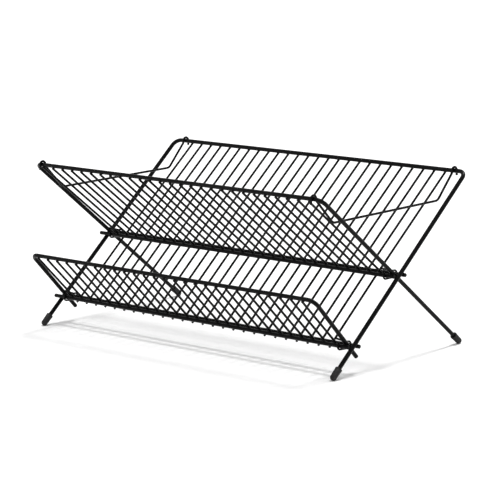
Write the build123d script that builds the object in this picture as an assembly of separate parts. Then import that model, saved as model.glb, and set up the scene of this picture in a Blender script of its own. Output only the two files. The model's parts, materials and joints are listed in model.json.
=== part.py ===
from build123d import *
import os
from math import cos, radians, sin

# Folding two-tier dish rack, made of powder-coated steel wire.
# Millimetres. +X runs along the rack, +Y to its rear, +Z up. The origin is on the table, under
# the middle of the rack's footprint.

# Overall sizes of the rear frame.
OVERALL_WIDTH = 480.0
LEG_LENGTH = 314.0            # foot end to the axis of the upper rail
CROSSING_DISTANCE = 151.1     # foot end to the point where the two frames cross
LEG_ANGLE = 39.8              # both upper frames, above the table

# The lower tier.
LOWER_CROSSING_DISTANCE = 44.4    # foot end of the rear frame to the lower crossing
LOWER_ANGLE = 47.3                # lower frame, above the table
LOWER_REACH = 84.0                # lower crossing to the axis of the lower rail
LOWER_STUB = 20.0                 # bare leg end behind the lower crossing

# Wire diameters.
REAR_WIRE = 5.2
FRONT_WIRE = 5.0
ROD_WIRE = 4.7
GRID_WIRE = 2.8
STRUT_WIRE = 2.9
CLIP_WIRE = 2.4

# Bend radii, on the wire's axis.
REAR_BEND = 9.5
FRONT_BEND = 10.0
STRUT_BEND = 9.0
STRUT_NECK_BEND = 5.0

# Cross rods.
ROD_OVERHANG = 1.25           # rod end past the rear frame's outer side
FRONT_ROD_SHIFT = -3.7        # the front and lower rods sit off centre, to the left
ROD_END_ROUND = 0.7

# Grid wires.
GRID_PITCH = 16.6
REAR_GRID_SHIFT = -2.7        # the rear grid sits off centre, to the left
RAIL_OVERHANG = 1.0           # wire end past the rail's axis
REAR_WIRE_TAIL = 10.6         # wire end past the rear lower rod's axis
FRONT_WIRE_TAIL = 1.4         # wire end past the front and lower rods' axes
GRID_END_ROUND = 0.4
KINK_BEND = 40.0

# Struts.
STRUT_DROP = 31.2             # rail axis down to the strut's straight bar
STRUT_BAR_INSET = 32.0        # rail axis in to the bend at the bar's end
STRUT_NECK = 2.0              # rail axis down to the bend under the hook
HOOK_TAIL = 6.0               # rail axis down to the hook's free end
HOOK_ROUND = 0.999            # a hook's bend radius, as a share of its half width

# Hinge clips.
CLIP_FLARE_REACH = 6.4        # free end past the moving rod's axis
CLIP_FLARE_RISE = 9.2         # free end above the line of the two rods
CLIP_FLARE_START = 3.0        # start of the flare past the fixed rod's axis
CLIP_CURL = 60.0              # degrees that the short end curls up round the moving rod

# Rubber foot caps.
CAP_MOUTH_RADIUS = 4.3
CAP_TIP_RADIUS = 3.9
CAP_DEPTH = 12.5
CAP_FLAT = 0.15               # depth of the small flat worn on the tip
CAP_ROUND = 0.6

# Clearances and fits.
WELD = 0.1                    # how far welded wires sink into each other
CAP_GRIP = 0.03               # how much smaller the cap's bore is than its leg
BEARING_GAP = 0.3             # between a rod and the other frame's leg that rests on it
FRONT_SIDE_GAP = 0.5          # between the rear and front frames' legs
LOWER_SIDE_GAP = 1.5          # between the rear and lower frames' legs
HOOK_GAP = 0.3                # between a strut's hook and its rail
STRUT_SIDE_GAP = 0.2          # between a strut and the start of the front frame's bend
GRID_SIDE_GAP = 1.0           # least gap between a strut and the grid wire beside it
CLIP_GAP = 0.35               # between a clip and its rods
CLIP_SIDE_GAP = 1.7           # between a clip and the strut beside it

rear_radius = REAR_WIRE / 2
front_radius = FRONT_WIRE / 2
rod_radius = ROD_WIRE / 2
grid_radius = GRID_WIRE / 2

rear_x = OVERALL_WIDTH / 2 - rear_radius
front_x = rear_x - rear_radius - front_radius - FRONT_SIDE_GAP
lower_x = rear_x - rear_radius - front_radius - LOWER_SIDE_GAP
strut_x = front_x - FRONT_BEND - STRUT_WIRE / 2 - STRUT_SIDE_GAP
clip_x = strut_x + (STRUT_WIRE + CLIP_WIRE) / 2 + CLIP_SIDE_GAP
grid_limit = strut_x - STRUT_WIRE / 2 - grid_radius - GRID_SIDE_GAP
rod_length = OVERALL_WIDTH + 2 * ROD_OVERHANG


def side(y, z):
    """A place or a direction in the side view, as a vector with no X."""
    return Vector(0, y, z)


def at(x, place):
    """A side-view place moved to a station along X."""
    return place + Vector(x, 0, 0)


def leaning(angle, towards):
    """The unit vector up a leg that leans to the rear (towards=1) or the front (-1)."""
    return side(towards * cos(radians(angle)), sin(radians(angle)))


def under(along):
    """The unit normal on the underside of a leg with this direction."""
    return side(along.Z, -along.Y) if along.Y > 0 else side(-along.Z, along.Y)


def beside(crossing, first, first_distance, second, second_distance):
    """The place at two signed distances from two legs that cross."""
    overlap = first.dot(second)
    spread = 1 - overlap * overlap
    first_part = (first_distance - overlap * second_distance) / spread
    second_part = (second_distance - overlap * first_distance) / spread
    return crossing + first * first_part + second * second_part


# Side view: where the frames, rails and rods lie.
rear_along = leaning(LEG_ANGLE, 1)
front_along = leaning(LEG_ANGLE, -1)
lower_along = leaning(LOWER_ANGLE, -1)
rear_under = under(rear_along)
front_under = under(front_along)
lower_under = under(lower_along)

foot_height = CAP_TIP_RADIUS - CAP_FLAT
crossing = side(0, foot_height + CROSSING_DISTANCE * rear_along.Z)
rear_foot = crossing - rear_along * CROSSING_DISTANCE
front_foot = crossing - front_along * CROSSING_DISTANCE
rear_rail = rear_foot + rear_along * LEG_LENGTH
front_rail = front_foot + front_along * LEG_LENGTH
lower_crossing = rear_foot + rear_along * LOWER_CROSSING_DISTANCE
lower_rail = lower_crossing + lower_along * LOWER_REACH
lower_end = lower_crossing - lower_along * LOWER_STUB

rear_weld = rear_radius + rod_radius - WELD
front_weld = front_radius + rod_radius - WELD
rear_bearing = rear_radius + rod_radius + BEARING_GAP
front_bearing = front_radius + rod_radius + BEARING_GAP
middle_rod = beside(crossing, rear_under, rear_weld, front_under, -front_bearing)
front_rod = beside(crossing, rear_under, -rear_bearing, front_under, front_weld)
low_rod = beside(lower_crossing, rear_under, rear_weld, lower_under, -front_bearing)
tier_rod = beside(lower_crossing, rear_under, -rear_bearing, lower_under, front_weld)


def round_wire(path, radius, end_round):
    """A wire of round section along a path, with its two cut ends softened."""
    section = Plane(origin=path @ 0, z_dir=path % 0) * Circle(radius)
    solid = sweep(section, path=path)
    ends = [min(solid.faces(), key=lambda face: (face.center() - path @ end).length) for end in (0, 1)]
    return fillet([edge for face in ends for edge in face.edges()], end_round)


def bent_frame(x, rail, foot, bend, radius):
    """A U-shaped frame: leg, rail and leg, bent from one wire."""
    corners = [at(-x, foot), at(-x, rail), at(x, rail), at(x, foot)]
    return round_wire(FilletPolyline(*corners, radius=bend), radius, ROD_END_ROUND)


def cross_rod(place, shift):
    """A straight rod along X, shifted off centre."""
    start = at(shift - rod_length / 2, place)
    finish = at(shift + rod_length / 2, place)
    return round_wire(Line(start, finish), rod_radius, ROD_END_ROUND)


def grid_pairs(prefix, first, shift):
    """Names and stations of pairs of grid wires, from the grid's middle out to the struts."""
    count = int((grid_limit - abs(shift) - first) / GRID_PITCH) + 1
    reaches = [first + index * GRID_PITCH for index in range(count)]
    return {f"{prefix}_wires_{index + 1:02d}": [shift - x, shift + x] for index, x in enumerate(reaches)}


def rear_grid_wire(x):
    """A grid wire under the rear rail and over both rear rods, straight but for a slight kink."""
    at_rail = rear_under * (rear_radius + grid_radius - WELD)
    at_rods = rear_under * (rear_weld - rod_radius - grid_radius + WELD)
    middle_reach = (middle_rod - rear_foot).dot(rear_along)
    tail_reach = (low_rod - rear_foot).dot(rear_along) - REAR_WIRE_TAIL
    top = rear_foot + rear_along * (LEG_LENGTH + RAIL_OVERHANG) + at_rail
    kink = rear_foot + rear_along * middle_reach + at_rods
    tail = rear_foot + rear_along * tail_reach + at_rods
    path = FilletPolyline(at(x, top), at(x, kink), at(x, tail), radius=KINK_BEND)
    return round_wire(path, grid_radius, GRID_END_ROUND)


def short_grid_wire(x, rail, rod, along, outward):
    """A straight grid wire from under a front rail to the inner face of that frame's rod."""
    top = rail + outward * (front_radius + grid_radius - WELD) + along * RAIL_OVERHANG
    seat = rod - outward * (rod_radius + grid_radius - WELD)
    tail = seat + (seat - top).normalized() * FRONT_WIRE_TAIL
    return round_wire(Line(at(x, top), at(x, tail)), grid_radius, GRID_END_ROUND)


def strut(x):
    """A bent wire that hooks over both upper rails and hangs as a level bar between them."""
    rear_reach = rear_radius + HOOK_GAP + STRUT_WIRE / 2
    front_reach = front_radius + HOOK_GAP + STRUT_WIRE / 2
    corners = [
        rear_rail + side(rear_reach, -HOOK_TAIL),
        rear_rail + side(rear_reach, rear_reach),
        rear_rail + side(-rear_reach, rear_reach),
        rear_rail + side(-rear_reach, -STRUT_NECK),
        rear_rail + side(-STRUT_BAR_INSET, -STRUT_DROP),
        front_rail + side(STRUT_BAR_INSET, -STRUT_DROP),
        front_rail + side(front_reach, -STRUT_NECK),
        front_rail + side(front_reach, front_reach),
        front_rail + side(-front_reach, front_reach),
        front_rail + side(-front_reach, -HOOK_TAIL),
    ]
    rear_hook = rear_reach * HOOK_ROUND
    front_hook = front_reach * HOOK_ROUND
    rear_bends = [rear_hook, rear_hook, STRUT_NECK_BEND, STRUT_BEND]
    front_bends = [STRUT_BEND, STRUT_NECK_BEND, front_hook, front_hook]
    path = FilletPolyline(*[at(x, corner) for corner in corners], radius=rear_bends + front_bends)
    return round_wire(path, STRUT_WIRE / 2, GRID_END_ROUND)


def hinge_clip(x, fixed_rod, moving_rod):
    """An open hook round a fixed rod and a moving rod, with a flared free end above."""
    along = (moving_rod - fixed_rod).normalized()
    upward = side(-along.Z, along.Y) if along.Y > 0 else side(along.Z, -along.Y)
    span = (moving_rod - fixed_rod).length
    reach = rod_radius + CLIP_GAP + CLIP_WIRE / 2

    def place(forward, rise):
        return at(x, fixed_rod + along * forward + upward * rise)

    def round_moving_rod(angle):
        return place(span + reach * cos(radians(angle)), reach * sin(radians(angle)))

    flare = Line(place(span + CLIP_FLARE_REACH, CLIP_FLARE_RISE), place(CLIP_FLARE_START, reach))
    top = Line(place(CLIP_FLARE_START, reach), place(0, reach))
    back = ThreePointArc(place(0, reach), place(-reach, 0), place(0, -reach))
    bottom = Line(place(0, -reach), place(span, -reach))
    curl_middle = round_moving_rod((CLIP_CURL - 90) / 2)
    curl = ThreePointArc(round_moving_rod(-90), curl_middle, round_moving_rod(CLIP_CURL))
    path = Wire([flare.edge(), top.edge(), back.edge(), bottom.edge(), curl.edge()])
    return round_wire(path, CLIP_WIRE / 2, GRID_END_ROUND)


def foot_cap(x, foot, along, leg_radius):
    """A rubber cap pulled over a leg's end, with a small flat where it stands."""
    outline = Polyline(
        (0, -CAP_TIP_RADIUS),
        (0, CAP_DEPTH),
        (CAP_MOUTH_RADIUS, CAP_DEPTH),
        (CAP_TIP_RADIUS, 0),
    )
    tip = CenterArc((0, 0), CAP_TIP_RADIUS, -90, 90)
    body = revolve(Plane.XZ * make_face([*outline.edges(), *tip.edges()]), axis=Axis.Z)
    rim = body.faces().sort_by(Axis.Z)[-1].edges()
    body = fillet(rim, CAP_ROUND)
    bore = Pos(0, 0, CAP_DEPTH / 2) * Cylinder(leg_radius - CAP_GRIP, CAP_DEPTH)
    placed = Plane(origin=at(x, foot), x_dir=(1, 0, 0), z_dir=along) * (body - bore)
    table = Pos(x, foot.Y, -CAP_DEPTH) * Box(*[2 * CAP_DEPTH] * 3)
    return placed - table


def build_parts():
    """Every node of the rack, by name."""
    parts = {
        "rear_frame": bent_frame(rear_x, rear_rail, rear_foot, REAR_BEND, rear_radius),
        "rear_middle_rod": cross_rod(middle_rod, 0),
        "rear_lower_rod": cross_rod(low_rod, 0),
        "front_frame": bent_frame(front_x, front_rail, front_foot, FRONT_BEND, front_radius),
        "front_rod": cross_rod(front_rod, FRONT_ROD_SHIFT),
        "lower_frame": bent_frame(lower_x, lower_rail, lower_end, FRONT_BEND, front_radius),
        "lower_rod": cross_rod(tier_rod, FRONT_ROD_SHIFT),
    }
    front_face = (front_rail, front_rod, front_along, front_under)
    lower_face = (lower_rail, tier_rod, lower_along, lower_under)
    parts["front_wire_centre"] = short_grid_wire(0, *front_face)
    parts["lower_wire_centre"] = short_grid_wire(0, *lower_face)
    for name, stations in grid_pairs("rear", GRID_PITCH / 2, REAR_GRID_SHIFT).items():
        parts[name] = Compound([rear_grid_wire(x) for x in stations])
    for name, stations in grid_pairs("front", GRID_PITCH, 0).items():
        parts[name] = Compound([short_grid_wire(x, *front_face) for x in stations])
    for name, stations in grid_pairs("lower", GRID_PITCH, 0).items():
        parts[name] = Compound([short_grid_wire(x, *lower_face) for x in stations])
    for hand, sign in (("left", -1), ("right", 1)):
        parts[f"strut_{hand}"] = strut(sign * strut_x)
        parts[f"middle_clip_{hand}"] = hinge_clip(sign * clip_x, middle_rod, front_rod)
        parts[f"lower_clip_{hand}"] = hinge_clip(sign * clip_x, low_rod, tier_rod)
        parts[f"front_foot_{hand}"] = foot_cap(sign * rear_x, rear_foot, rear_along, rear_radius)
        parts[f"rear_foot_{hand}"] = foot_cap(sign * front_x, front_foot, front_along, front_radius)
    return parts


def main():
    os.makedirs("parts", exist_ok=True)
    parts = build_parts()
    footprint = Compound(list(parts.values())).bounding_box().center()
    to_origin = Location((-footprint.X, -footprint.Y, 0))
    for name, shape in parts.items():
        export_step(to_origin * shape, f"parts/{name}.step")
    pivots = {
        "crossing": crossing,
        "lower crossing": lower_crossing,
        "rear rail": rear_rail,
        "front rail": front_rail,
        "lower rail": lower_rail,
        "middle rod": middle_rod,
        "front rod": front_rod,
        "low rod": low_rod,
        "tier rod": tier_rod,
        "rear frame foot": rear_foot,
        "front frame foot": front_foot,
    }
    print(f"origin offset x {-footprint.X:.4f} y {-footprint.Y:.4f}")
    for name, place in pivots.items():
        print(f"{name}: y {place.Y - footprint.Y:.4f} z {place.Z:.4f}")
    print(f"strut x {strut_x:.4f} clip x {clip_x:.4f}")


if __name__ == "__main__":
    main()
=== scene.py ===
"""Looks for a folding two-tier dish rack of powder-coated steel wire.

Everything is in metres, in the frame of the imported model.
"""

import json
import math

import bmesh
import bpy
import numpy as np
from bpy.props import FloatProperty, FloatVectorProperty, PointerProperty
from bpy.types import Operator, Panel, PropertyGroup
from mathutils import Matrix, Vector

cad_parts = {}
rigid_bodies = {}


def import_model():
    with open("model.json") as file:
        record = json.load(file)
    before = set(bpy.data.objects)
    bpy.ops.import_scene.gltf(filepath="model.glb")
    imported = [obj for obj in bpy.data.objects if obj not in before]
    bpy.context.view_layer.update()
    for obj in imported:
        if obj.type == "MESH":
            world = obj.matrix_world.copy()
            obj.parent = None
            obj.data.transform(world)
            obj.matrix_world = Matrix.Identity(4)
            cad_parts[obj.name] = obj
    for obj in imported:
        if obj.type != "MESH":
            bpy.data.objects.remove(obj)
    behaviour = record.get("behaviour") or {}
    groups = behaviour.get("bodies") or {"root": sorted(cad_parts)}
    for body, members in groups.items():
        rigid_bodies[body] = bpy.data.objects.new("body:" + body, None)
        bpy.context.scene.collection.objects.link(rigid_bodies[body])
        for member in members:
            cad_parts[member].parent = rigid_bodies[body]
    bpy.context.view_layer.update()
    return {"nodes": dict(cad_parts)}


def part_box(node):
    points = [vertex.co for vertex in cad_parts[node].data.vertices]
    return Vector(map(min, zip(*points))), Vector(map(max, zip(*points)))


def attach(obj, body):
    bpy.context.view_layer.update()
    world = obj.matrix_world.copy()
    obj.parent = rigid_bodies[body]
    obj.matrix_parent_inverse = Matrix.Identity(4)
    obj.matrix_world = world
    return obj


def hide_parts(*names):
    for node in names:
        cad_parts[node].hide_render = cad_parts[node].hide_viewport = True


bl_info = {
    "name": "Folding dish rack",
    "version": (1, 0, 0),
    "blender": (4, 5, 0),
    "location": "View3D > Sidebar > Dish rack",
    "description": "Coats, welds and feet of a folding wire dish rack, and its studio",
    "category": "Object",
}

for spare in list(bpy.data.objects):
    bpy.data.objects.remove(spare)

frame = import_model()

TURN = 2 * math.pi

# Metres, where a size.
BLOOM_SIZE = 0.018
STREAK_SIZE = 0.004
STREAK_STRETCH = (0.12, 1.0, 1.0)
HIGHLIGHT_BAND = 0.003              # how far down from a rail's top the painted highlight reaches
CLOUD_SIZE = 0.003
SCUFF_SIZE = 0.0008
SCUFF_LOW, SCUFF_HIGH = 0.0004, 0.0045    # heights between which the scuffs fade out
GRAIN_DEPTH = 0.00003
TOOTH_SIZE = 0.004
WELD_STEP, WELD_START = 2.399, 0.7        # radians, for the welds' uneven sizes
WELD_SLIM = 0.86              # a weld's length along its wire, as a share of its width
CAP_WAIST = 0.00018           # how much slimmer a cap is under its lip
CAP_BORE_DEPTH = 0.003
CAP_BORE_GRIP = 0.00005
CAP_BORE_LEAD = 0.0003
CAP_DOME_STEPS = 8
CAP_SPIN_STEPS = 40
OVERHEAD_RUN = (0.05, -0.35, -1.0)        # the way that the light from above travels
FILM_WIDTH = 36.0             # millimetres
CAMERA_SHIFT = (-0.001, 0.001)
CAMERA_REACH = 200.0

FRAME_NODES = ("rear_frame", "front_frame", "lower_frame")
ROD_NODES = ("rear_middle_rod", "rear_lower_rod", "front_rod", "lower_rod")
LINK_NODES = (
    "strut_left",
    "strut_right",
    "middle_clip_left",
    "middle_clip_right",
    "lower_clip_left",
    "lower_clip_right",
)

# Each panel: its body, its frame, its rods and the start of its grid wires' names.
PANELS = {
    "rear": ("rear_panel", "rear_frame", ("rear_middle_rod", "rear_lower_rod"), "rear_wire"),
    "front": ("front_panel", "front_frame", ("front_rod",), "front_wire"),
    "lower": ("lower_panel", "lower_frame", ("lower_rod",), "lower_wire"),
}

# Each foot cap: the frame whose leg it covers, that frame's body and which way the leg leans.
FEET = {
    "front_foot_left": ("rear_frame", "rear_panel", 1),
    "front_foot_right": ("rear_frame", "rear_panel", 1),
    "rear_foot_left": ("front_frame", "front_panel", -1),
    "rear_foot_right": ("front_frame", "front_panel", -1),
}


class RackWire(PropertyGroup):
    """Wire diameters, as the frames were bent from them."""

    rear: FloatProperty(name="Rear frame wire", description="Diameter of the rear frame's wire",
                        default=0.0052, unit="LENGTH")
    front: FloatProperty(name="Front frame wire", description="Diameter of the front and lower frames' wire",
                         default=0.005, unit="LENGTH")
    grid: FloatProperty(name="Grid wire", description="Diameter of the thin upright wires",
                        default=0.0028, unit="LENGTH")


class RackCoat(PropertyGroup):
    """The black powder coat."""

    colour: FloatVectorProperty(name="Coat", description="Colour of the cured coat", subtype="COLOR",
                                default=(0.001, 0.001, 0.0011))
    bloom: FloatVectorProperty(name="Bloom", description="Colour where the coat is thin or handled",
                               subtype="COLOR", default=(0.004, 0.004, 0.0042))
    # Painted highlight: the lighter colour painted along the top of each rail.
    rail_top_highlight: FloatVectorProperty(name="Rail top highlight", description="Colour of the rail where plates slide over it",
                                subtype="COLOR", default=(0.014, 0.014, 0.0145))
    roughness: FloatProperty(name="Roughness", description="Satin roughness of the coat", default=0.28,
                             subtype="FACTOR")
    peel_size: FloatProperty(name="Peel size", description="Width of one orange-peel dimple",
                             default=0.0009, unit="LENGTH")
    peel_depth: FloatProperty(name="Peel depth", description="Depth of the orange peel",
                              default=0.00003, unit="LENGTH")
    grit_size: FloatProperty(name="Grit size", description="Width of one powder grain left proud",
                             default=0.00022, unit="LENGTH")


class RackRubber(PropertyGroup):
    """The rubber of the foot caps."""

    colour: FloatVectorProperty(name="Rubber", description="Colour of the moulded rubber", subtype="COLOR",
                                default=(0.009, 0.009, 0.0095))
    dust: FloatVectorProperty(name="Dust", description="Colour of the scuffed, dusty tip", subtype="COLOR",
                              default=(0.035, 0.034, 0.033))
    roughness: FloatProperty(name="Roughness", description="Roughness of the rubber", default=0.62,
                             subtype="FACTOR")
    grain_size: FloatProperty(name="Grain size", description="Width of the mould's grain",
                              default=0.00035, unit="LENGTH")


class RackWelds(PropertyGroup):
    """Resistance welds, rounded over by the coat."""

    grid_spread: FloatProperty(name="Grid weld spread", description="Reach of a grid weld from its middle",
                               default=0.002, unit="LENGTH")
    grid_height: FloatProperty(name="Grid weld height", description="Half the height of a grid weld",
                               default=0.001, unit="LENGTH")
    rod_spread: FloatProperty(name="Rod weld spread", description="Reach of a rod weld from its middle",
                              default=0.0027, unit="LENGTH")
    rod_height: FloatProperty(name="Rod weld height", description="Half the height of a rod weld",
                              default=0.0014, unit="LENGTH")
    unevenness: FloatProperty(name="Unevenness", description="How much the welds differ in size",
                              default=0.12, subtype="FACTOR")


class RackCaps(PropertyGroup):
    """The moulded foot caps."""

    tip_radius: FloatProperty(name="Tip radius", description="Radius of the domed tip", default=0.0039,
                              unit="LENGTH")
    mouth_radius: FloatProperty(name="Mouth radius", description="Radius of the cap's lip", default=0.0043,
                                unit="LENGTH")
    depth: FloatProperty(name="Depth", description="From the dome's centre to the mouth", default=0.0125,
                         unit="LENGTH")
    wear: FloatProperty(name="Wear", description="Depth of the flat worn where the cap stands",
                        default=0.00015, unit="LENGTH")
    lip: FloatProperty(name="Lip", description="Height of the rolled lip at the mouth", default=0.0017,
                       unit="LENGTH")
    groove: FloatProperty(name="Groove", description="Depth of the groove under the lip", default=0.00022,
                          unit="LENGTH")


class RackStudio(PropertyGroup):
    """The floor, the lights and the camera."""

    floor_colour: FloatVectorProperty(name="Floor", description="Colour of the pale floor", subtype="COLOR",
                                      default=(0.97, 0.97, 0.97))
    floor_radius: FloatProperty(name="Floor radius", description="Radius of the round floor", default=40.0,
                                unit="LENGTH")
    sky: FloatProperty(name="Surround", description="Strength of the white surround", default=0.72)
    sun: FloatProperty(name="Overhead light", description="Strength of the wide soft light from above",
                       default=2.4)
    sun_width: FloatProperty(name="Overhead width", description="How wide the light from above looks",
                             default=math.radians(16.0), subtype="ANGLE")
    azimuth: FloatProperty(name="Azimuth", description="Camera's turn from the front, to the right",
                           default=math.radians(43.014), subtype="ANGLE")
    elevation: FloatProperty(name="Elevation", description="Camera's height above level",
                             default=math.radians(10.572), subtype="ANGLE")
    roll: FloatProperty(name="Roll", description="Camera's tilt to one side", default=math.radians(-1.222),
                        subtype="ANGLE")
    distance: FloatProperty(name="Distance", description="Camera to the point it looks at", default=2.994,
                            unit="LENGTH")
    lens: FloatProperty(name="Lens", description="Focal length in millimetres", default=179.2)
    aim: FloatVectorProperty(name="Aim", description="Point the camera looks at", subtype="TRANSLATION",
                             default=(0.00849, 0.00614, 0.1045))


class Level:
    """A socket that holds a number: sums of levels become Math nodes."""

    def __init__(self, shader, socket):
        self.shader = shader
        self.socket = socket

    def maths(self, operation, first, second=0.0):
        node = self.shader.add("ShaderNodeMath", {"operation": operation}, {0: first, 1: second})
        return Level(self.shader, node.outputs[0])

    def __add__(self, other):
        return self.maths("ADD", self, other)

    __radd__ = __add__

    def __sub__(self, other):
        return self.maths("SUBTRACT", self, other)

    def __rsub__(self, other):
        return self.maths("SUBTRACT", other, self)

    def __mul__(self, other):
        return self.maths("MULTIPLY", self, other)

    __rmul__ = __mul__

    def ramp(self, low, high):
        """0 up to low, 1 from high, smooth between."""
        node = self.shader.add("ShaderNodeMapRange", {"interpolation_type": "SMOOTHSTEP", "clamp": True},
                               {"Value": self, "From Min": low, "From Max": high})
        return Level(self.shader, node.outputs["Result"])


class Shader:
    """The node tree of one material, filled from Python expressions."""

    def __init__(self, name):
        self.material = bpy.data.materials.new(name)
        self.material.use_nodes = True
        self.tree = self.material.node_tree
        self.surface = self.tree.nodes["Principled BSDF"]
        self.place = self.add("ShaderNodeTexCoord").outputs["Object"]

    def add(self, kind, settings=None, inputs=None):
        """A node of one kind, with its settings set first and then its sockets' values or links."""
        node = self.tree.nodes.new(kind)
        for key, value in (settings or {}).items():
            setattr(node, key, value)
        for key, value in (inputs or {}).items():
            self.feed(node.inputs[key], value)
        return node

    def feed(self, socket, value):
        """Links a level or a socket, or sets a plain value."""
        if isinstance(value, Level):
            value = value.socket
        if isinstance(value, bpy.types.NodeSocket):
            self.tree.links.new(value, socket)
        else:
            socket.default_value = value

    def noise(self, size, detail=2.0, stretch=(1.0, 1.0, 1.0), roughness=0.5):
        """Noise whose features are about one size across, as a level from 0 to 1."""
        placed = self.add("ShaderNodeMapping", None, {"Vector": self.place, "Scale": stretch})
        node = self.add("ShaderNodeTexNoise", None, {
            "Vector": placed.outputs["Vector"],
            "Scale": 1.0 / size,
            "Detail": detail,
            "Roughness": roughness,
        })
        return Level(self, node.outputs["Fac"])

    def height(self):
        """Height above the table, in metres."""
        node = self.add("ShaderNodeSeparateXYZ", None, {"Vector": self.place})
        return Level(self, node.outputs["Z"])

    def mix(self, amount, first, second):
        """A colour between two colours."""
        node = self.add("ShaderNodeMix", {"data_type": "RGBA"}, None)
        self.feed(node.inputs["Factor"], amount)
        for socket, value in ((node.inputs[6], first), (node.inputs[7], second)):
            self.feed(socket, value if isinstance(value, bpy.types.NodeSocket) else (*value, 1.0))
        return node.outputs[2]

    def bump(self, relief, depth, strength=1.0, under=None):
        """A bumped normal from a height level."""
        node = self.add("ShaderNodeBump", None, {"Height": relief, "Distance": depth, "Strength": strength})
        if under is not None:
            self.feed(node.inputs["Normal"], under)
        return node.outputs["Normal"]

    def finish(self, **inputs):
        """Sets the surface's sockets and gives the material."""
        for key, value in inputs.items():
            self.feed(self.surface.inputs[key.replace("_", " ").title().replace("Ior", "IOR")], value)
        return self.material


def coat_material(name, highlight_height=None, gloss=0.0):
    """Satin black powder coat: orange peel, proud grains, bloom and, on rails, a painted highlight along the
    top.
    """
    coat = bpy.context.scene.rack_coat
    shader = Shader(name)
    peel = shader.noise(coat.peel_size, detail=1.0)
    grit = shader.noise(coat.grit_size, detail=0.0).ramp(0.62, 0.78)
    bloom = shader.noise(BLOOM_SIZE, detail=4.0, roughness=0.6).ramp(0.42, 0.72)
    streak = shader.noise(STREAK_SIZE, detail=2.0, stretch=STREAK_STRETCH).ramp(0.5, 0.75)
    colour = shader.mix(bloom * 0.7, coat.colour, coat.bloom)
    roughness = coat.roughness - gloss + (peel - 0.5) * 0.10 + grit * 0.12 + bloom * 0.06
    # Painted highlight: a streaked lighter band painted along the top of each frame's rail.
    if highlight_height is not None:
        rail_top_highlight = shader.height().ramp(highlight_height - 0.0005, highlight_height + 0.002) * streak
        colour = shader.mix(rail_top_highlight * 0.55, colour, coat.rail_top_highlight)
        roughness = roughness - rail_top_highlight * 0.07
    normal = shader.bump(grit, coat.peel_depth * 0.4, 0.6, shader.bump(peel, coat.peel_depth, 0.9))
    return shader.finish(base_color=colour, roughness=roughness, normal=normal, specular_ior_level=0.09)


def rubber_material(name):
    """Moulded black rubber: fine grain, a scuffed tip and a little dust in the grain."""
    rubber = bpy.context.scene.rack_rubber
    shader = Shader(name)
    grain = shader.noise(rubber.grain_size, detail=2.0)
    cloud = shader.noise(CLOUD_SIZE, detail=3.0).ramp(0.35, 0.75)
    near_table = 1.0 - shader.height().ramp(SCUFF_LOW, SCUFF_HIGH)
    scuff = near_table * shader.noise(SCUFF_SIZE, detail=3.0).ramp(0.42, 0.62)
    colour = shader.mix(cloud * 0.35, rubber.colour, rubber.dust)
    colour = shader.mix(scuff * 0.7, colour, rubber.dust)
    roughness = rubber.roughness + (grain - 0.5) * 0.12 + scuff * 0.15
    normal = shader.bump(grain, GRAIN_DEPTH, 0.8)
    return shader.finish(base_color=colour, roughness=roughness, normal=normal, specular_ior_level=0.25)


def floor_material(name, colour):
    """A matt studio floor with a barely visible tooth."""
    shader = Shader(name)
    tooth = shader.noise(TOOTH_SIZE, detail=3.0)
    shade = shader.mix(tooth * 0.2, colour, [channel * 0.985 for channel in colour])
    return shader.finish(base_color=shade, roughness=0.8 + tooth * 0.1, specular_ior_level=0.1)


def coat_nodes(names, material):
    """Puts one material on every slot of some CAD nodes."""
    for name in names:
        for slot in frame["nodes"][name].material_slots:
            slot.link = "DATA"
            slot.material = material


def grid_nodes():
    """Names of every node of grid wires."""
    starts = tuple(start for body, outer, rods, start in PANELS.values())
    return sorted(name for name in frame["nodes"] if name.startswith(starts))


def rail_axis(frame_name, wire, towards):
    """Side-view place of a frame's rail: its highest, and foremost or rearmost, wire."""
    low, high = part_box(frame_name)
    depth = high.y - wire / 2 if towards > 0 else low.y + wire / 2
    return Vector((0.0, depth, high.z - wire / 2))


def rod_axis(rod_name):
    """Side-view place and radius of a straight rod."""
    low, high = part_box(rod_name)
    middle = (low + high) / 2
    return Vector((0.0, middle.y, middle.z)), (high.z - low.z) / 2


def stations(node_name):
    """Places along X of the wires in one node."""
    low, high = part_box(node_name)
    half = bpy.context.scene.rack_wire.grid / 2
    if high.x - low.x < 4 * half:
        return [(low.x + high.x) / 2]
    return [low.x + half, high.x - half]


def run_direction(node_name):
    """The unit direction, upwards in the side view, in which a node's wires run."""
    points = np.array([vertex.co for vertex in frame["nodes"][node_name].data.vertices])[:, 1:]
    spread = points - points.mean(axis=0)
    axis = np.linalg.svd(spread, full_matrices=False)[2][0]
    axis = axis if axis[1] > 0 else -axis
    return Vector((0.0, float(axis[0]), float(axis[1])))


def middle_of(node_name):
    """Side-view middle of a node."""
    low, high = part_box(node_name)
    middle = (low + high) / 2
    return Vector((0.0, middle.y, middle.z))


def touching_place(member, radius, run, on_run):
    """Where a wire that runs past a member touches it, and the direction between their axes."""
    across = (on_run - member) - run * (on_run - member).dot(run)
    across.normalize()
    return member + across * radius, across


def make_piece(name, mesh_builder, body, material):
    """A finished object, shaded smooth, that rides on a body."""
    shape = bmesh.new()
    mesh_builder(shape)
    bmesh.ops.recalc_face_normals(shape, faces=shape.faces)
    for face in shape.faces:
        face.smooth = True
    mesh = bpy.data.meshes.new(name)
    shape.to_mesh(mesh)
    shape.free()
    mesh.materials.append(material)
    piece = bpy.data.objects.new(name, mesh)
    bpy.context.scene.collection.objects.link(piece)
    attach(piece, body)
    return piece


def uneven(index, amount):
    """A size factor near 1 that differs from weld to weld, the same each run."""
    return 1.0 + amount * math.sin(index * WELD_STEP + WELD_START)


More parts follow.
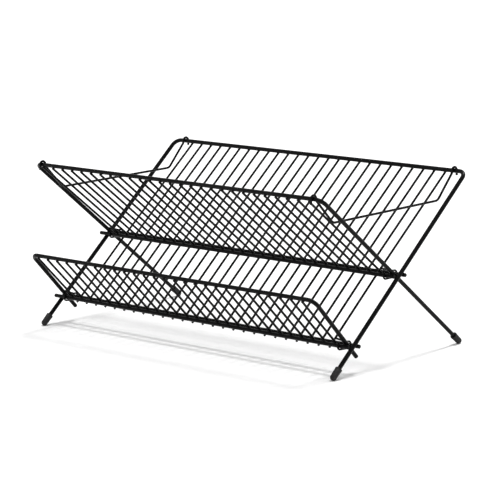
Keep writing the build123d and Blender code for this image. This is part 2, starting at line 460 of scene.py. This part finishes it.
def add_nugget(shape, place, along_wire, across, spread, height, subdivisions=2):
    """A flattened, rounded weld between two crossing wires."""
    rail_run = Vector((1.0, 0.0, 0.0))
    turn = Matrix((rail_run, along_wire, across)).transposed().to_4x4()
    size = Matrix.Diagonal((spread, spread * WELD_SLIM, height, 1.0))
    bmesh.ops.create_icosphere(shape, subdivisions=subdivisions, radius=1.0,
                               matrix=Matrix.Translation(place) @ turn @ size)


class RACK_OT_coat_frames(Operator):
    """Coats the three bent frames and their cross rods"""

    bl_idname = "rack.coat_frames"
    bl_label = "Coat frames and rods"

    def execute(self, context):
        for name in FRAME_NODES:
            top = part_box(name)[1].z
            coat_nodes([name], coat_material(f"{name}_coat", highlight_height=top - HIGHLIGHT_BAND))
        coat_nodes(ROD_NODES, coat_material("rod_coat"))
        return {"FINISHED"}


class RACK_OT_coat_grids(Operator):
    """Coats the thin upright wires"""

    bl_idname = "rack.coat_grids"
    bl_label = "Coat grid wires"

    def execute(self, context):
        coat_nodes(grid_nodes(), coat_material("grid_coat"))
        return {"FINISHED"}


class RACK_OT_coat_links(Operator):
    """Coats the two struts and the four hinge clips"""

    bl_idname = "rack.coat_links"
    bl_label = "Coat struts and clips"

    def execute(self, context):
        coat_nodes(LINK_NODES, coat_material("link_coat", gloss=0.04))
        return {"FINISHED"}


class RACK_OT_weld_grids(Operator):
    """Makes the welds where the thin wires cross the rails and rods"""

    bl_idname = "rack.weld_grids"
    bl_label = "Weld grid wires"

    def execute(self, context):
        wire = context.scene.rack_wire
        weld = context.scene.rack_welds
        material = coat_material("weld_coat", gloss=0.08)
        for panel, (body, outer, rods, start) in PANELS.items():
            towards = 1 if panel == "rear" else -1
            thickness = wire.rear if panel == "rear" else wire.front
            members = [(rail_axis(outer, thickness, towards), thickness / 2)]
            members += [rod_axis(rod) for rod in rods]
            nodes = sorted(name for name in frame["nodes"] if name.startswith(start))

            def build(shape):
                index = 0
                for node in nodes:
                    run = run_direction(node)
                    for x in stations(node):
                        for member, radius in members:
                            place, across = touching_place(member, radius, run, middle_of(node))
                            index += 1
                            factor = uneven(index, weld.unevenness)
                            add_nugget(shape, Vector((x, place.y, place.z)), run, across,
                                       weld.grid_spread * factor, weld.grid_height * factor)

            make_piece(f"{panel}_grid_welds", build, body, material)
        return {"FINISHED"}


class RACK_OT_weld_rods(Operator):
    """Makes the welds where the rods cross the legs of their own frames"""

    bl_idname = "rack.weld_rods"
    bl_label = "Weld rods to legs"

    def execute(self, context):
        wire = context.scene.rack_wire
        weld = context.scene.rack_welds
        material = coat_material("rod_weld_coat", gloss=0.05)
        for panel, (body, outer, rods, start) in PANELS.items():
            towards = 1 if panel == "rear" else -1
            thickness = wire.rear if panel == "rear" else wire.front
            rail = rail_axis(outer, thickness, towards)
            low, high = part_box(outer)
            legs = (low.x + thickness / 2, high.x - thickness / 2)

            def build(shape):
                index = 0
                for rod in rods:
                    centre, radius = rod_axis(rod)
                    gap = thickness / 2 + radius
                    reach = rail - centre
                    lean = math.asin(min(1.0, gap / reach.length))
                    run = Matrix.Rotation(towards * lean, 3, "X") @ reach.normalized()
                    across = Vector((0.0, -run.z * towards, run.y * towards))
                    place = centre + across * radius
                    for x in legs:
                        index += 1
                        factor = uneven(index, weld.unevenness)
                        add_nugget(shape, Vector((x, place.y, place.z)), run, across,
                                   weld.rod_spread * factor, weld.rod_height * factor, 3)

            make_piece(f"{panel}_rod_welds", build, body, material)
        return {"FINISHED"}


class RACK_OT_fit_feet(Operator):
    """Moulds the four rubber foot caps"""

    bl_idname = "rack.fit_feet"
    bl_label = "Fit foot caps"

    def execute(self, context):
        wire = context.scene.rack_wire
        caps = context.scene.rack_caps
        material = rubber_material("foot_rubber")
        for name, (outer, body, towards) in FEET.items():
            low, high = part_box(name)
            thickness = wire.rear if outer == "rear_frame" else wire.front
            depth = low.y + caps.tip_radius if towards > 0 else high.y - caps.tip_radius
            dome = Vector(((low.x + high.x) / 2, depth, caps.tip_radius - caps.wear))
            rail = rail_axis(outer, thickness, towards)
            run = Vector((0.0, rail.y - dome.y, rail.z - dome.z)).normalized()

            def build(shape):
                self.build_cap(shape, caps, thickness / 2)
                turn = run.to_track_quat("Z", "X").to_matrix().to_4x4()
                bmesh.ops.transform(shape, matrix=Matrix.Translation(dome) @ turn, verts=shape.verts)
                geometry = [*shape.verts, *shape.edges, *shape.faces]
                cut = bmesh.ops.bisect_plane(shape, geom=geometry, plane_co=(0.0, 0.0, low.z),
                                             plane_no=(0.0, 0.0, 1.0), clear_inner=True)
                rim = [item for item in cut["geom_cut"] if isinstance(item, bmesh.types.BMEdge)]
                bmesh.ops.contextual_create(shape, geom=rim)

            piece = make_piece(f"{name}_cap", build, body, material)
            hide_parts(name)
        return {"FINISHED"}

    @staticmethod
    def build_cap(shape, caps, leg_radius):
        """A closed cap round Z: domed tip down, lip and groove at the mouth, and a blind bore."""
        lip_start = caps.depth - caps.lip
        waist = caps.mouth_radius - CAP_WAIST
        outline = [(0.0, -caps.tip_radius)]
        for step in range(1, CAP_DOME_STEPS + 1):
            angle = -math.pi / 2 + step * math.pi / 2 / CAP_DOME_STEPS
            outline.append((caps.tip_radius * math.cos(angle), caps.tip_radius * math.sin(angle)))
        outline += [
            (waist, lip_start - 0.0009),
            (waist - caps.groove, lip_start - 0.00045),
            (waist - caps.groove, lip_start - 0.00015),
            (caps.mouth_radius - 0.00004, lip_start + 0.0001),
            (caps.mouth_radius, lip_start + 0.0004),
            (caps.mouth_radius, caps.depth - 0.0005),
            (caps.mouth_radius - 0.00015, caps.depth - 0.00015),
            (caps.mouth_radius - 0.0005, caps.depth),
            (leg_radius + CAP_BORE_LEAD, caps.depth),
            (leg_radius - CAP_BORE_GRIP, caps.depth - CAP_BORE_LEAD),
            (leg_radius - CAP_BORE_GRIP, caps.depth - CAP_BORE_DEPTH),
            (0.0, caps.depth - CAP_BORE_DEPTH),
        ]
        points = [shape.verts.new((radius, 0.0, height)) for radius, height in outline]
        edges = [shape.edges.new(pair) for pair in zip(points, points[1:])]
        bmesh.ops.spin(shape, geom=[*points, *edges], cent=(0.0, 0.0, 0.0), axis=(0.0, 0.0, 1.0),
                       angle=TURN, steps=CAP_SPIN_STEPS, use_merge=True)
        bmesh.ops.remove_doubles(shape, verts=shape.verts, dist=0.000001)


class RACK_OT_set_studio(Operator):
    """Sets the pale floor, the soft lights and the camera"""

    bl_idname = "rack.set_studio"
    bl_label = "Set studio"

    def execute(self, context):
        studio = context.scene.rack_studio
        self.lay_floor(studio)
        self.hang_lights(context.scene, studio)
        self.place_camera(context.scene, studio)
        return {"FINISHED"}

    @staticmethod
    def lay_floor(studio):
        """A round floor, just under the feet."""
        shape = bmesh.new()
        bmesh.ops.create_circle(shape, cap_ends=True, segments=96, radius=studio.floor_radius)
        mesh = bpy.data.meshes.new("floor")
        shape.to_mesh(mesh)
        shape.free()
        mesh.materials.append(floor_material("studio_floor", studio.floor_colour))
        floor = bpy.data.objects.new("floor", mesh)
        bpy.context.scene.collection.objects.link(floor)

    @staticmethod
    def hang_lights(scene, studio):
        """A white surround and one wide, soft light from above and behind."""
        world = bpy.data.worlds.new("surround")
        world.use_nodes = True
        background = world.node_tree.nodes["Background"]
        background.inputs["Color"].default_value = (1.0, 1.0, 1.0, 1.0)
        background.inputs["Strength"].default_value = studio.sky
        scene.world = world
        scene.view_settings.view_transform = "Standard"
        data = bpy.data.lights.new("overhead", "SUN")
        data.energy = studio.sun
        data.angle = studio.sun_width
        lamp = bpy.data.objects.new("overhead", data)
        lamp.rotation_euler = Vector(OVERHEAD_RUN).to_track_quat("-Z", "Y").to_euler()
        scene.collection.objects.link(lamp)

    @staticmethod
    def place_camera(scene, studio):
        """The camera, aimed and rolled."""
        data = bpy.data.cameras.new("camera")
        data.lens = studio.lens
        data.sensor_width = FILM_WIDTH
        data.shift_x, data.shift_y = CAMERA_SHIFT
        data.clip_end = CAMERA_REACH
        back = Vector((
            math.sin(studio.azimuth) * math.cos(studio.elevation),
            -math.cos(studio.azimuth) * math.cos(studio.elevation),
            math.sin(studio.elevation),
        ))
        level = Vector((math.cos(studio.azimuth), math.sin(studio.azimuth), 0.0))
        upright = back.cross(level)
        right = level * math.cos(studio.roll) + upright * math.sin(studio.roll)
        top = upright * math.cos(studio.roll) - level * math.sin(studio.roll)
        turn = Matrix((right, top, back)).transposed().to_4x4()
        camera = bpy.data.objects.new("camera", data)
        camera.matrix_world = Matrix.Translation(Vector(studio.aim) + back * studio.distance) @ turn
        scene.collection.objects.link(camera)
        scene.camera = camera


class RACK_PT_panel(Panel):
    """Buttons for the rack's pieces and studio"""

    bl_idname = "RACK_PT_panel"
    bl_label = "Dish rack"
    bl_space_type = "VIEW_3D"
    bl_region_type = "UI"
    bl_category = "Dish rack"

    def draw(self, context):
        for operator in OPERATORS:
            self.layout.operator(operator.bl_idname)


GROUPS = {
    "rack_wire": RackWire,
    "rack_coat": RackCoat,
    "rack_rubber": RackRubber,
    "rack_welds": RackWelds,
    "rack_caps": RackCaps,
    "rack_studio": RackStudio,
}
OPERATORS = (
    RACK_OT_coat_frames,
    RACK_OT_coat_grids,
    RACK_OT_coat_links,
    RACK_OT_weld_grids,
    RACK_OT_weld_rods,
    RACK_OT_fit_feet,
    RACK_OT_set_studio,
)


def register():
    for name, group in GROUPS.items():
        bpy.utils.register_class(group)
        setattr(bpy.types.Scene, name, PointerProperty(type=group))
    for operator in OPERATORS:
        bpy.utils.register_class(operator)
    bpy.utils.register_class(RACK_PT_panel)


def unregister():
    bpy.utils.unregister_class(RACK_PT_panel)
    for operator in reversed(OPERATORS):
        bpy.utils.unregister_class(operator)
    for name, group in reversed(GROUPS.items()):
        delattr(bpy.types.Scene, name)
        bpy.utils.unregister_class(group)


def main():
    register()
    bpy.ops.rack.coat_frames()
    bpy.ops.rack.coat_grids()
    bpy.ops.rack.coat_links()
    bpy.ops.rack.weld_grids()
    bpy.ops.rack.weld_rods()
    bpy.ops.rack.fit_feet()
    bpy.ops.rack.set_studio()


if __name__ == "__main__":
    main()
